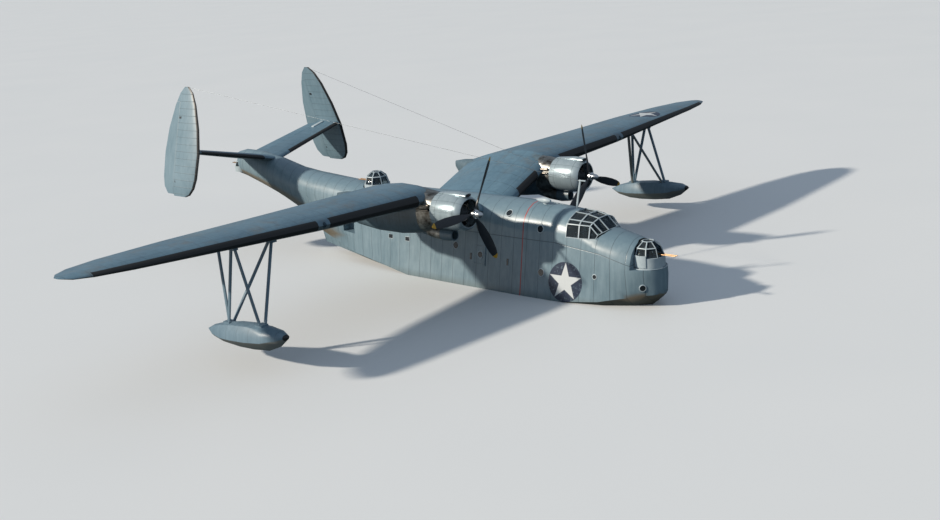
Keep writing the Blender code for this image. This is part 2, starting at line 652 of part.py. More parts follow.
# Columns: x of the roof, then half-width and height of the sill, the side window's top, the roof's
# edge and the roof, and how far the first three stand aft of the roof's point
CANOPY_SECTIONS = (
    (COCKPIT_REAR_X, (1.02, SILL_Z), (0.89, 2.90), (0.74, 3.05), (0.30, 3.24), (0, 0, 0)),
    (5.70, (0.97, SILL_Z), (0.86, 2.90), (0.72, 3.03), (0.30, 3.20), (0, 0, 0)),
    (6.18, (0.90, SILL_Z), (0.77, 2.88), (0.61, 2.98), (0.28, 3.09), (0.06, 0.06, 0.03)),
    (COCKPIT_FRONT_X, (0.80, SILL_Z), (0.72, 2.55), (0.56, 2.62), (0.28, 2.69), (0.26, 0.20, 0.10)),
)
FRAME_BAR = 0.022
FRAME_DEPTH = 0.030
PANE_DEPTH = 0.008


def grid_faces(shape, rows, closed=False, skip=()):
    """Quads between rows of points; `skip` names the (row, column) quads left open.

    Where the rows are closed rings, one more panel fills the last of them.
    """
    verts = [[shape.verts.new(point) for point in row] for row in rows]
    for r, (near, far) in enumerate(zip(verts, verts[1:])):
        count = len(near) if closed else len(near) - 1
        for c in range(count):
            d = (c + 1) % len(near)
            if (r, c) not in skip:
                shape.faces.new((near[c], near[d], far[d], far[c]))
    if closed:
        shape.faces.new(verts[-1])
    loose = [vert for vert in shape.verts if not vert.link_faces]
    bmesh.ops.delete(shape, geom=loose, context="VERTS")


def framework(name, rows, depth, floor_z, finish, closed=False, skip=(), rear_x=-100):
    """Bars along every edge of a grid of panels, as one body `depth` thick."""
    shape = bmesh.new()
    grid_faces(shape, rows, closed, skip)
    bmesh.ops.recalc_face_normals(shape, faces=shape.faces)
    panels = list(shape.faces)
    bmesh.ops.inset_individual(shape, faces=panels, thickness=FRAME_BAR, use_even_offset=True)
    bmesh.ops.delete(shape, geom=panels, context="FACES")
    bmesh.ops.solidify(shape, geom=list(shape.faces), thickness=depth)
    for vert in shape.verts:
        vert.co.z = max(vert.co.z, floor_z)
        vert.co.x = max(vert.co.x, rear_x)
    return to_object(name, shape, finish)


def pane_shell(name, rows, inset, floor_z, finish, closed=False, skip=(), origin=(0, 0, 0)):
    """Clear panes as one thin shell that stands `inset` inside the grid of panels."""
    shape = bmesh.new()
    grid_faces(shape, rows, closed, skip)
    bmesh.ops.recalc_face_normals(shape, faces=shape.faces)
    shape.normal_update()
    moves = [(v, v.normal * inset * v.calc_shell_factor()) for v in shape.verts]
    for vert, move in moves:
        vert.co -= move
    bmesh.ops.solidify(shape, geom=list(shape.faces), thickness=PANE_DEPTH)
    lowest = min(vert.co.z for vert in shape.verts)
    for vert in shape.verts:
        if vert.co.z < lowest + 0.03:
            vert.co.z = floor_z
    return to_object(name, shape, finish, origin)


def canopy_rows(lift, trim):
    rows = []
    for i, (x, *points, aft) in enumerate(CANOPY_SECTIONS):
        x += trim if i == 0 else -trim if i == len(CANOPY_SECTIONS) - 1 else 0
        port = [Vector((x - back, y, z)) for back, (y, z) in zip((*aft, 0), points)]
        port[0].z += lift
        rows.append(port + [Vector((p.x, -p.y, p.z)) for p in reversed(port)])
    return rows


cut_rear, cut_front = COCKPIT_REAR_X - SEAT_GAP, COCKPIT_FRONT_X + SEAT_GAP
cut_port = ((cut_rear, 1.5), (6.37, 1.5), (6.37, 0.83), (6.44, 0.74), (6.55, 0.57), (cut_front, 0.30))
cut_plan = cut_port + tuple((x, -y) for x, y in reversed(cut_port))
cut_rings = [[Vector((x, y, z)) for x, y in cut_plan] for z in (SILL_Z, 4.0)]
combine(hull, loft("canopy cutter", cut_rings, GREY_PAINT), "DIFFERENCE")
combine(hull, block("cockpit well cutter", WELL_LOW, WELL_HIGH, GREY_PAINT), "DIFFERENCE")
canopy_floor = SILL_Z + SEAT_GAP
bar_grid, pane_grid = canopy_rows(SEAT_GAP, 0), canopy_rows(SEAT_GAP, 0.03)
framework("canopy_frame", bar_grid, FRAME_DEPTH, canopy_floor, GREY_PAINT, rear_x=COCKPIT_REAR_X)
pane_shell("canopy_glass", pane_grid, FRAME_DEPTH + 0.012, canopy_floor, CLEAR_PANES)

SEAT_FRONT = ((0.30, 0.0), (0.30, 0.42), (-0.12, 0.40), (-0.24, 1.00))
SEAT_BACK = ((-0.34, 1.00), (-0.24, 0.30), (-0.20, 0.0))
SEAT_X, SEAT_Y, SEAT_HALF_WIDTH = 5.55, 0.42, 0.23
cabin_floor = WELL_LOW[2] + SEAT_GAP
for hand_name, hand in HANDS.items():
    outline = [(SEAT_X + x, cabin_floor + z) for x, z in SEAT_FRONT + SEAT_BACK]
    ends = (hand * SEAT_Y - SEAT_HALF_WIDTH, hand * SEAT_Y + SEAT_HALF_WIDTH)
    extruded("pilot_seat_" + hand_name, outline, *ends, CABIN_GREEN)
panel_outline = [(6.20, cabin_floor), (6.29, cabin_floor), (6.29, 2.42), (6.05, 2.50), (6.16, 2.20)]
extruded("instrument_panel", panel_outline, -0.74, 0.74, CABIN_GREEN)


# Turrets: a drum on a centre pin, a framed clear dome on it, and twin guns in cheeks
# Columns: name, centre x, seat height, drum radius, drum height, facing in degrees, muzzle reach,
# and each gun's distance from the middle
TURRETS = (
    ("nose", 8.10, 1.45, 0.60, 0.40, 0, 1.17, 0.065),
    ("dorsal", -5.80, 3.06, 0.57, 0.34, 180, 1.10, 0.065),
    ("tail", -15.17, 3.27, 0.42, 0.26, 180, 0.80, 0.042),
)
DOME_COLUMNS = 8
DOME_RISES = (0, 36, 68)
PIN_CLEAR = 0.006
CHEEK_Y = 0.20
CHEEK_HALF = 0.015
TRUNNION_RISE = 0.09
TURRET_SPACE = 0.05


def dome_rows(centre, radius, facing):
    rows = []
    for rise in DOME_RISES:
        flat, up = radius * math.cos(math.radians(rise)), radius * math.sin(math.radians(rise))
        row = []
        for c in range(DOME_COLUMNS):
            a = math.radians(facing) + math.tau * (c - 0.5) / DOME_COLUMNS
            row.append(centre + Vector((flat * math.cos(a), flat * math.sin(a), up)))
        rows.append(row)
    return rows


bow_cut = block("bow cutter", (7.86, -1.5, 1.46), (9.0, 1.5, 4.0), GREY_PAINT)
combine(hull, bow_cut, "DIFFERENCE")
stern_cut = block("stern cutter", (-16.5, -1.5, 3.28), (-15.15, 1.5, 4.06), GREY_PAINT)
combine(hull, stern_cut, "DIFFERENCE")
for turret_name, x, seat, radius, drum_height, facing, reach, gun_y in TURRETS:
    foot = Vector((x, 0, seat))
    rim = seat + drum_height
    slot = {(0, 0), (1, 0)}
    cup = ((SEAT_GAP, 0), (SEAT_GAP, 0.12), (PIN_CLEAR, 0.12), (PIN_CLEAR, radius), (drum_height, radius))
    cup += ((drum_height, radius - 0.05), (0.045, radius - 0.05), (0.045, 0))
    drum = turned(turret_name + "_turret", cup, foot, (0, 0, 1), GREY_PAINT, 16, origin=foot)
    out = Matrix.Rotation(math.radians(facing), 3, "Z")
    for side in (-1, 1):
        low = foot + Vector((-0.07, side * CHEEK_Y - CHEEK_HALF, 0.03))
        high = foot + Vector((0.07, side * CHEEK_Y + CHEEK_HALF, drum_height + TRUNNION_RISE + 0.05))
        combine(drum, block("cheek", low, high, GREY_PAINT), "UNION")
    grid = dome_rows(Vector((x, 0, rim - 0.012)), radius, facing)
    bars_name = turret_name + " dome bars"
    bars = framework(bars_name, grid, FRAME_DEPTH, rim - 0.02, GREY_PAINT, True, slot)
    combine(drum, bars, "UNION")
    inset, pane_foot = FRAME_DEPTH + 0.008, rim + SEAT_GAP
    pane_shell(turret_name + "_dome", grid, inset, pane_foot, CLEAR_PANES, True, slot, foot)
    pivot = Vector((x, 0, rim + TRUNNION_RISE))
    half_pin = Vector((0, CHEEK_Y - CHEEK_HALF - SEAT_GAP, 0))
    guns = stick(turret_name + "_guns", pivot - half_pin, pivot + half_pin, 0.06, 0.06, GUN_STEEL)
    for side in (-1, 1):
        middle = pivot + Vector((0, side * gun_y, 0))
        spots = (-0.48 * radius, 0.34 * radius, 0.43 * radius, reach)
        back, overlap, front, muzzle = [middle + out @ Vector((spot, 0, 0)) for spot in spots]
        rear_x, front_x = sorted((back.x, front.x))
        low, high = (rear_x, middle.y - 0.035, middle.z - 0.05), (front_x, middle.y + 0.035, middle.z + 0.05)
        combine(guns, block("receiver", low, high, GUN_STEEL), "UNION")
        barrel = stick("barrel", overlap, muzzle, 0.04, 0.04, GUN_STEEL, 8, (0, 0, 1))
        combine(guns, barrel, "UNION")
    if turret_name == "dorsal":
        space = ((0.0, 0), (0.0, radius + TURRET_SPACE), (1.5, radius + TURRET_SPACE), (1.5, 0))
        combine(hull, turned("dorsal well cutter", space, foot, (0, 0, 1), GREY_PAINT, 20), "DIFFERENCE")
    else:
        cave = radius + TURRET_SPACE
        space = [(0.0, 0), (0.0, cave)]
        for rise in (0, 30, 60):
            a = math.radians(rise)
            space.append((drum_height + cave * math.sin(a), cave * math.cos(a)))
        space.append((drum_height + cave, 0))
        cave_cut = turned(turret_name + " cave cutter", space, foot, (0, 0, 1), GREY_PAINT, 20)
        combine(hull, cave_cut, "DIFFERENCE")


# Side hatch in each hull side below the wing, on a hinge tube along its front edge that turns
# between two lugs on the hull
SIDE_LEAN = math.radians(10.2)
SIDE_Y, SIDE_Z = 1.0665, 2.40
HATCH_LOW = (0.80, 0.96)
HATCH_HIGH = (1.36, 1.66)
HATCH_DEPTH = 0.06
HATCH_EDGE = 0.008
HINGE_RADIUS = 0.015
HINGE_OUT = 0.022
HINGE_HALF = 0.37
LUG_HALF = 0.02


def side_block(name, low, high, hand, outside, inside, finish=GREY_PAINT):
    """A block square to the hull's leaning side, between two (x, z) corners."""
    turn = Matrix.Rotation(hand * SIDE_LEAN, 3, "X")
    middle_z = (low[1] + high[1]) / 2
    skin_y = SIDE_Y + (SIDE_Z - middle_z) * math.tan(SIDE_LEAN)
    centre = Vector(((low[0] + high[0]) / 2, hand * skin_y, middle_z))
    half_x, half_z = (high[0] - low[0]) / 2, (high[1] - low[1]) / 2
    rings = []
    for x in (-half_x, half_x):
        ring = [(x, hand * outside, -half_z), (x, hand * outside, half_z), (x, -hand * inside, half_z)]
        ring.append((x, -hand * inside, -half_z))
        rings.append([centre + turn @ Vector(corner) for corner in ring])
    return loft(name, rings, finish), centre, turn


for hand_name, hand in HANDS.items():
    low, high = HATCH_LOW, HATCH_HIGH
    door, centre, turn = side_block("side_hatch_" + hand_name, low, high, hand, 0.2, HATCH_DEPTH)
    combine(door, grown(hull, 0.0, "hull copy " + hand_name), "INTERSECT")
    wide_low, wide_high = [value - HATCH_EDGE for value in low], [value + HATCH_EDGE for value in high]
    opening, _, _ = side_block("hatch cutter " + hand_name, wide_low, wide_high, hand, 0.3, 0.55)
    combine(hull, opening, "DIFFERENCE")
    hinge_x = high[0] - HINGE_RADIUS - centre.x
    place_on_door = lambda x, out, up: centre + turn @ Vector((hinge_x + x, hand * out, up))
    ends = [place_on_door(0, HINGE_OUT, up) for up in (-HINGE_HALF, HINGE_HALF)]
    tube = stick("hatch hinge tube " + hand_name, *ends, 2 * HINGE_RADIUS, 2 * HINGE_RADIUS, GREY_PAINT)
    leaf_ends = [place_on_door(0, 0, up) for up in (0.04 - HINGE_HALF, HINGE_HALF - 0.04)]
    leaf = stick("hatch hinge leaf " + hand_name, *leaf_ends, 0.02, 0.044, GREY_PAINT, 4)
    combine(door, tube, "UNION")
    combine(door, leaf, "UNION")
    for side in (-1, 1):
        near, far = side * (HINGE_HALF + SEAT_GAP), side * (HINGE_HALF + 2 * LUG_HALF)
        rings = []
        for up in (near, far):
            corners = ((-LUG_HALF, -0.03), (LUG_HALF, -0.03), (LUG_HALF, 0.04), (-LUG_HALF, 0.04))
            rings.append([place_on_door(x, out, up) for x, out in corners])
        combine(hull, loft("hatch lug", rings, GREY_PAINT), "UNION")


# Open waist hatch in each side, for the beam guns
WAIST_LOW = (-7.35, 1.28)
WAIST_HIGH = (-6.45, 1.98)
WAIST_INNER_Y = 0.45
for hand_name, hand in HANDS.items():
    y_range = sorted((hand * WAIST_INNER_Y, hand * 1.4))
    low, high = (WAIST_LOW[0], y_range[0], WAIST_LOW[1]), (WAIST_HIGH[0], y_range[1], WAIST_HIGH[1])
    combine(hull, block("waist cutter " + hand_name, low, high, GREY_PAINT), "DIFFERENCE")


# Deck fittings: the raked aerial mast and the direction finder's bullet on its post
mast_foot, mast_top = Vector((4.96, 0, 3.24)), Vector((5.20, 0, 4.38))
mast = stick("aerial_mast", mast_foot, mast_top, 0.09, 0.045, GREY_PAINT)
arm_middle = mast_top - Vector((0, 0, 0.03))
arm_ends = (arm_middle - Vector((0.07, 0, 0)), arm_middle + Vector((0.24, 0, 0)))
combine(mast, stick("mast arm", *arm_ends, 0.055, 0.06, GREY_PAINT, 6, (0, 0.2, 1)), "UNION")
combine(mast, hull_seat, "DIFFERENCE")
bullet_profile = ((0.0, 0), (0.02, 0.05), (0.14, 0.10), (0.32, 0.11), (0.60, 0.05), (0.74, 0))
bullet = turned("direction_finder", bullet_profile, (3.92, -0.20, 3.50), (-1, 0, 0), GREY_PAINT, 12)
combine(bullet, stick("bullet post", (3.62, -0.20, 3.25), (3.62, -0.20, 3.50), 0.16, 0.05, GREY_PAINT), "UNION")
combine(bullet, hull_seat, "DIFFERENCE")


# The hull is joined from sections at its main frames, each a closed slice of the whole
# Columns: name, rear x, front x
HULL_SLICES = (
    ("hull_tail", -16.0, WAIST_LOW[0]),
    ("hull_waist", WAIST_LOW[0], WAIST_HIGH[0]),
    ("hull_middle", WAIST_HIGH[0], HATCH_LOW[0] - HATCH_EDGE),
    ("hull_hatch_bay", HATCH_LOW[0] - HATCH_EDGE, HATCH_HIGH[0] + HATCH_EDGE),
    ("hull_fore", HATCH_HIGH[0] + HATCH_EDGE, WELL_LOW[0]),
    ("hull_cockpit", WELL_LOW[0], WELL_HIGH[0]),
    ("hull_bow", WELL_HIGH[0], 9.0),
)
for name, rear_x, front_x in HULL_SLICES:
    low, high = (rear_x + SEAT_GAP / 2, -2.0, -1.5), (front_x - SEAT_GAP / 2, 2.0, 5.0)
    combine(block(name, low, high, GREY_PAINT), hull, "INTERSECT")
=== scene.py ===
# Looks of the twin-engined gull-winged flying boat, afloat at z = 0: +X forward, +Y to port, metres
import math

import bpy
from mathutils import Matrix, Vector


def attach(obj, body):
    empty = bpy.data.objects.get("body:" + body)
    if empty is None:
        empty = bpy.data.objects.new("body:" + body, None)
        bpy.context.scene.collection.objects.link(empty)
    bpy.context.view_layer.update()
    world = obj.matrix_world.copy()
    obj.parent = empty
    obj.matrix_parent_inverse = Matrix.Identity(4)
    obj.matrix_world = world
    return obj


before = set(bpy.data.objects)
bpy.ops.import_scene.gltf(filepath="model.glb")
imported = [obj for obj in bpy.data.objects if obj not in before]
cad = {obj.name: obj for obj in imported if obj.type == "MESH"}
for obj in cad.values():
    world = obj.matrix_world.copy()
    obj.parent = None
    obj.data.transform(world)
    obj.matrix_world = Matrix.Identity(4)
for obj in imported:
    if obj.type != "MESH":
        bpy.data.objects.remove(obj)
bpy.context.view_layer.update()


# Hull: riveted light-alloy skin on frames, built in bays from bow to tail and painted blue-grey
# outside. Frame joints run up the sides, one lap joint runs along them, and the planing bottom
# is weathered to a warmer grey. A star on a dark disc marks each side, and a red ring warns of the
# propellers.
def srgb(hex_colour):
    """A linear colour from six sRGB hex digits."""
    channels = [int(hex_colour[i : i + 2], 16) / 255 for i in (0, 2, 4)]
    linear = [c / 12.92 if c <= 0.04045 else ((c + 0.055) / 1.055) ** 2.4 for c in channels]
    return (*linear, 1)


def add(tree, kind, *inputs, **settings):
    """Adds a shader node. Its inputs, in the node's own order, are values or other nodes' outputs."""
    node = tree.nodes.new("ShaderNode" + kind)
    for name, value in settings.items():
        setattr(node, name, value)
    for socket, value in zip(node.inputs, inputs):
        if isinstance(value, bpy.types.NodeSocket):
            tree.links.new(value, socket)
        elif value is not None:
            socket.default_value = value
    return node.outputs[0]


def new_finish(name, roughness, metallic=0.0):
    """An empty procedural finish: its node tree, shader and the piece's x, y and z."""
    finish = bpy.data.materials.new(name)
    finish.use_nodes = True
    tree = finish.node_tree
    shader = tree.nodes["Principled BSDF"]
    shader.inputs["Roughness"].default_value = roughness
    shader.inputs["Metallic"].default_value = metallic
    place = add(tree, "TexCoord").node.outputs["Object"]
    x, y, z = add(tree, "SeparateXYZ", place).node.outputs
    return finish, tree, shader, place, (x, y, z)


def seam(tree, along, spacing, offset, width):
    """1 on a thin line every `spacing` metres of a coordinate, and 0 off it."""
    moved = add(tree, "Math", along, offset, operation="SUBTRACT")
    away = add(tree, "Math", moved, spacing / 2, operation="PINGPONG")
    return add(tree, "MapRange", away, width * 0.4, width, 1.0, 0.0)


def most(tree, masks):
    """The greatest of several masks."""
    joined = masks[0]
    for mask in masks[1:]:
        joined = add(tree, "Math", joined, mask, operation="MAXIMUM")
    return joined


def star_masks(tree, across, up, centre, radius, turn):
    """Masks of a round disc and of the five-pointed star that fills it."""
    u = add(tree, "Math", across, centre[0], operation="SUBTRACT")
    v = add(tree, "Math", up, centre[1], operation="SUBTRACT")
    spot = add(tree, "CombineXYZ", u, v, 0.0)
    reach = add(tree, "VectorMath", spot, operation="LENGTH").node.outputs["Value"]
    disc = add(tree, "MapRange", reach, radius, radius - 0.012, 0.0, 1.0)
    angle = add(tree, "Math", v, u, operation="ARCTAN2")
    angle = add(tree, "Math", angle, turn, operation="ADD")
    folded = add(tree, "Math", angle, math.radians(36), operation="PINGPONG")
    leaned = add(tree, "Math", folded, math.radians(72), operation="SUBTRACT")
    lean = add(tree, "Math", leaned, operation="COSINE")
    depth = add(tree, "Math", reach, lean, operation="MULTIPLY")
    limit = radius * 0.309 * 0.97
    star = add(tree, "MapRange", depth, limit + 0.006, limit - 0.006, 0.0, 1.0)
    return disc, star


def weathered(tree, place, light, dark):
    """Paint between two tones: broad fading, and streaks that run down the skin."""
    # Patches are about 2 m across and streaks about 150 mm, far coarser than the real grain
    broad = add(tree, "TexNoise", place, None, 0.5, 4.0, 0.6)
    stretched = add(tree, "Mapping", place, (0, 0, 0), (0, 0, 0), (6.0, 6.0, 0.6))
    streaks = add(tree, "TexNoise", stretched, None, 1.0, 5.0, 0.65)
    both = add(tree, "Math", broad, streaks, operation="ADD")
    share = add(tree, "MapRange", both, 0.75, 1.25, 0.0, 1.0)
    return add(tree, "MixRGB", share, srgb(light), srgb(dark))


def dressed(name, finish):
    """Puts a finish on a CAD node, which keeps its mesh and is drawn with smooth shading."""
    node = cad[name]
    node.data.materials.clear()
    node.data.materials.append(finish)
    step = node.modifiers.new("smooth skin", "NODES")
    step.node_group = smooth_skin
    return node


# The CAD meshes arrive as loose flat triangles, so they are welded and shaded smooth up to 40 degrees
smooth_skin = bpy.data.node_groups.new("smooth skin", "GeometryNodeTree")
smooth_skin.interface.new_socket("Geometry", in_out="INPUT", socket_type="NodeSocketGeometry")
smooth_skin.interface.new_socket("Geometry", in_out="OUTPUT", socket_type="NodeSocketGeometry")
group_in = smooth_skin.nodes.new("NodeGroupInput")
group_out = smooth_skin.nodes.new("NodeGroupOutput")
weld = smooth_skin.nodes.new("GeometryNodeMergeByDistance")
weld.inputs["Distance"].default_value = 0.0004
forget = smooth_skin.nodes.new("GeometryNodeRemoveAttribute")
forget.inputs["Name"].default_value = "custom_normal"
round_faces = smooth_skin.nodes.new("GeometryNodeSetShadeSmooth")
round_edges = smooth_skin.nodes.new("GeometryNodeSetShadeSmooth")
round_edges.domain = "EDGE"
edge_angle = smooth_skin.nodes.new("GeometryNodeInputMeshEdgeAngle")
soft_edge = smooth_skin.nodes.new("FunctionNodeCompare")
soft_edge.operation = "LESS_THAN"
soft_edge.inputs["B"].default_value = math.radians(40)
chain = (group_in, weld, forget, round_faces, round_edges, group_out)
for near, far in zip(chain, chain[1:]):
    smooth_skin.links.new(near.outputs[0], far.inputs[0])
smooth_skin.links.new(edge_angle.outputs["Unsigned Angle"], soft_edge.inputs["A"])
smooth_skin.links.new(soft_edge.outputs[0], round_edges.inputs["Shade Smooth"])

hull_paint, tree, shader, place, (x, y, z) = new_finish("blue-grey hull paint", 0.33)
paint_tone = weathered(tree, place, "7F949F", "667D89")
normal = add(tree, "NewGeometry").node.outputs["Normal"]
facing_up = add(tree, "SeparateXYZ", normal).node.outputs[2]
bottom = add(tree, "MapRange", facing_up, -0.25, -0.40, 0.0, 1.0)
deck = add(tree, "MapRange", facing_up, 0.55, 0.85, 0.0, 0.6)
tone = add(tree, "MixRGB", deck, paint_tone, srgb("647D8C"))
tone = add(tree, "MixRGB", bottom, tone, srgb("7A7264"))
wet = add(tree, "MapRange", z, 0.30, 0.02, 0.0, 0.55)
tone = add(tree, "MixRGB", wet, tone, srgb("5F6A68"))
frames = seam(tree, x, 0.62, 0.26, 0.014)
# The lap joint lies level along the middle and falls towards the bow
fall = add(tree, "MapRange", x, 4.68, 6.66, 2.16, 1.93)
nose_fall = add(tree, "MapRange", x, 6.66, 8.30, 0.0, 0.44)
lap_height = add(tree, "Math", fall, nose_fall, operation="SUBTRACT")
lap = add(tree, "Math", z, lap_height, operation="SUBTRACT")
lap = add(tree, "Math", lap, operation="ABSOLUTE")
lap = add(tree, "MapRange", lap, 0.008, 0.018, 1.0, 0.0)
lines = most(tree, [frames, lap])
line_share = add(tree, "Math", lines, 0.6, operation="MULTIPLY")
tone = add(tree, "MixRGB", line_share, tone, srgb("27323A"))
ring = add(tree, "Math", x, 3.165, operation="SUBTRACT")
ring = add(tree, "Math", ring, operation="ABSOLUTE")
ring = add(tree, "MapRange", ring, 0.022, 0.027, 0.85, 0.0)
tone = add(tree, "MixRGB", ring, tone, srgb("A8372C"))
disc, star = star_masks(tree, x, z, (5.22, 0.76), 0.75, math.radians(-90))
worn = add(tree, "TexNoise", place, None, 9.0, 4.0, 0.7)
worn = add(tree, "MapRange", worn, 0.56, 0.66, 1.0, 0.35)
disc = add(tree, "Math", disc, worn, operation="MULTIPLY")
tone = add(tree, "MixRGB", disc, tone, srgb("232F45"))
tone = add(tree, "MixRGB", star, tone, srgb("C9CFD2"))
tree.links.new(tone, shader.inputs["Base Color"])
grooves = add(tree, "Math", lines, -1.0, operation="MULTIPLY")
# Plating dents repeat about every 0.4 m
dents = add(tree, "TexNoise", place, None, 2.5, 2.0, 0.5)
relief = add(tree, "Math", grooves, dents, operation="ADD")
bumps = add(tree, "Bump", 0.35, 0.01)
tree.links.new(relief, bumps.node.inputs["Height"])
tree.links.new(bumps, shader.inputs["Normal"])
for name in ("hull_bow", "hull_cockpit", "hull_fore", "hull_hatch_bay", "hull_middle", "hull_waist", "hull_tail"):
    dressed(name, hull_paint)
for name in ("side_hatch_port", "side_hatch_starboard"):
    dressed(name, hull_paint)


# Wings: riveted alloy panels over ribs and two spars. The nose of each outer and inner panel wears a
# black rubber de-icing boot, with a grey gap at the landing light and at the engine. A star on a
# dark disc marks the top of the port wing and the underside of the starboard wing.
def lifting_finish(name, lead_table, boots, rib_spacing, marked):
    """Paint for a wing or tailplane; the table gives the leading edge's x at distances out."""
    finish, tree, shader, place, (x, y, z) = new_finish(name, 0.40)
    out = add(tree, "Math", y, operation="ABSOLUTE")
    tone = weathered(tree, place, "5F7D8F", "4D6B7E")
    normal = add(tree, "NewGeometry").node.outputs["Normal"]
    facing_up = add(tree, "SeparateXYZ", normal).node.outputs[2]
    below = add(tree, "MapRange", facing_up, 0.0, -0.3, 0.0, 1.0)
    tone = add(tree, "MixRGB", below, tone, srgb("5F7078"))
    curve = add(tree, "FloatCurve", 1.0)
    points = curve.node.mapping.curves[0].points
    spots = [(far / 20, (lead + 15) / 20) for far, lead in lead_table]
    points[0].location, points[1].location = spots[0], spots[-1]
    for spot in spots[1:-1]:
        points.new(*spot)
    for point in points:
        point.handle_type = "VECTOR"
    curve.node.mapping.update()
    scaled = add(tree, "Math", out, 20.0, operation="DIVIDE")
    tree.links.new(scaled, curve.node.inputs["Value"])
    edge = add(tree, "Math", curve, 20.0, operation="MULTIPLY")
    edge = add(tree, "Math", edge, 15.0, operation="SUBTRACT")
    behind = add(tree, "Math", edge, x, operation="SUBTRACT")
    ribs = seam(tree, y, rib_spacing, 0.12, 0.012)
    chordwise = seam(tree, behind, 0.82, 0.41, 0.012)
    lines = most(tree, [ribs, chordwise])
    line_share = add(tree, "Math", lines, 0.5, operation="MULTIPLY")
    tone = add(tree, "MixRGB", line_share, tone, srgb("24313A"))
    if marked:
        for hand, sign in ((1, 1.0), (-1, -1.0)):
            disc, star = star_masks(tree, x, y, (-0.48, 12.9 * hand), 0.75, math.radians(0))
            side = add(tree, "Math", facing_up, sign, operation="MULTIPLY")
            side = add(tree, "MapRange", side, 0.2, 0.3, 0.0, 1.0)
            disc = add(tree, "Math", disc, side, operation="MULTIPLY")
            star = add(tree, "Math", star, side, operation="MULTIPLY")
            tone = add(tree, "MixRGB", disc, tone, srgb("26344C"))
            tone = add(tree, "MixRGB", star, tone, srgb("C9CFD2"))
        # Exhaust and boot grime marks the top of the panel beside each nacelle
        root = add(tree, "MapRange", out, 3.0, 1.2, 0.5, 0.0)
        grime = add(tree, "TexNoise", place, None, 1.6, 5.0, 0.7)
        grime = add(tree, "MapRange", grime, 0.5, 0.75, 0.0, 1.0)
        grime = add(tree, "Math", grime, root, operation="MULTIPLY")
        tone = add(tree, "MixRGB", grime, tone, srgb("6A5F50"))
    boot = add(tree, "MapRange", behind, 0.17, 0.165, 0.0, 1.0)
    spans = []
    for start, end in boots:
        middle = add(tree, "Math", out, (start + end) / 2, operation="SUBTRACT")
        middle = add(tree, "Math", middle, operation="ABSOLUTE")
        spans.append(add(tree, "MapRange", middle, (end - start) / 2, (end - start) / 2 - 0.01, 0.0, 1.0))
    boot = add(tree, "Math", boot, most(tree, spans), operation="MULTIPLY")
    tone = add(tree, "MixRGB", boot, tone, srgb("1B1D20"))
    tree.links.new(tone, shader.inputs["Base Color"])
    rough = add(tree, "MapRange", boot, 0.0, 1.0, 0.40, 0.62)
    tree.links.new(rough, shader.inputs["Roughness"])
    # Skin waves repeat about every 0.5 m between ribs
    waves = add(tree, "TexNoise", place, None, 2.0, 2.0, 0.5)
    grooves = add(tree, "Math", lines, -1.0, operation="MULTIPLY")
    relief = add(tree, "Math", grooves, waves, operation="ADD")
    bumps = add(tree, "Bump", 0.3, 0.01)
    tree.links.new(relief, bumps.node.inputs["Height"])
    tree.links.new(bumps, shader.inputs["Normal"])
    return finish


# Columns: distance out, leading edge x
WING_EDGE = ((0.3, 1.04), (3.57, 1.02), (9.0, 0.90), (13.3, 0.52), (15.8, 0.30), (17.1, 0.12), (17.7, -0.12), (17.98, -0.52))
WING_BOOTS = ((1.4, 2.7), (4.3, 8.6), (9.1, 17.2))
wing_paint = lifting_finish("blue-grey wing paint", WING_EDGE, WING_BOOTS, 0.62, True)
for piece in ("inner_wing", "outer_wing", "flap", "aileron"):
    for hand_name in ("port", "starboard"):
        dressed(f"{piece}_{hand_name}", wing_paint)
TAIL_EDGE = ((0.0, -12.40), (4.20, -12.60))
tail_paint = lifting_finish("blue-grey tail paint", TAIL_EDGE, ((0.75, 4.1),), 0.38, False)
dressed("tailplane", tail_paint)
for hand_name in ("port", "starboard"):
    dressed("elevator_" + hand_name, tail_paint)


# Fins and rudders: alloy ribs under skin on the fins and doped fabric on the rudders, with ribs level
# across them and a black de-icing boot on each fin's nose.
fin_paint, tree, shader, place, (x, y, z) = new_finish("blue-grey fin paint", 0.42)
tone = weathered(tree, place, "778F9C", "647E8C")
curve = add(tree, "FloatCurve", 1.0)
points = curve.node.mapping.curves[0].points
# Columns: height above the water, leading edge x
FIN_EDGE = ((3.08, -13.30), (3.18, -13.00), (3.47, -12.74), (3.90, -12.60), (4.97, -12.54), (6.03, -12.72))
FIN_EDGE += ((7.05, -13.05), (7.58, -13.35), (7.86, -13.70))
spots = [(height / 20, (lead + 15) / 20) for height, lead in FIN_EDGE]
points[0].location, points[1].location = spots[0], spots[-1]
for spot in spots[1:-1]:
    points.new(*spot)
for point in points:
    point.handle_type = "VECTOR"
curve.node.mapping.update()
tree.links.new(add(tree, "Math", z, 20.0, operation="DIVIDE"), curve.node.inputs["Value"])
edge = add(tree, "Math", curve, 20.0, operation="MULTIPLY")
edge = add(tree, "Math", edge, 15.0, operation="SUBTRACT")
behind = add(tree, "Math", edge, x, operation="SUBTRACT")
ribs = seam(tree, z, 0.31, 0.1, 0.012)
fixed = add(tree, "MapRange", x, -14.26, -14.25, 0.0, 1.0)
ribs = add(tree, "Math", ribs, fixed, operation="MULTIPLY")
line_share = add(tree, "Math", ribs, 0.5, operation="MULTIPLY")
tone = add(tree, "MixRGB", line_share, tone, srgb("2A3740"))
boot = add(tree, "MapRange", behind, 0.12, 0.115, 0.0, 1.0)
tone = add(tree, "MixRGB", boot, tone, srgb("1B1D20"))
tree.links.new(tone, shader.inputs["Base Color"])
bumps = add(tree, "Bump", 0.5, 0.008)
tree.links.new(ribs, bumps.node.inputs["Height"])
tree.links.new(bumps, shader.inputs["Normal"])
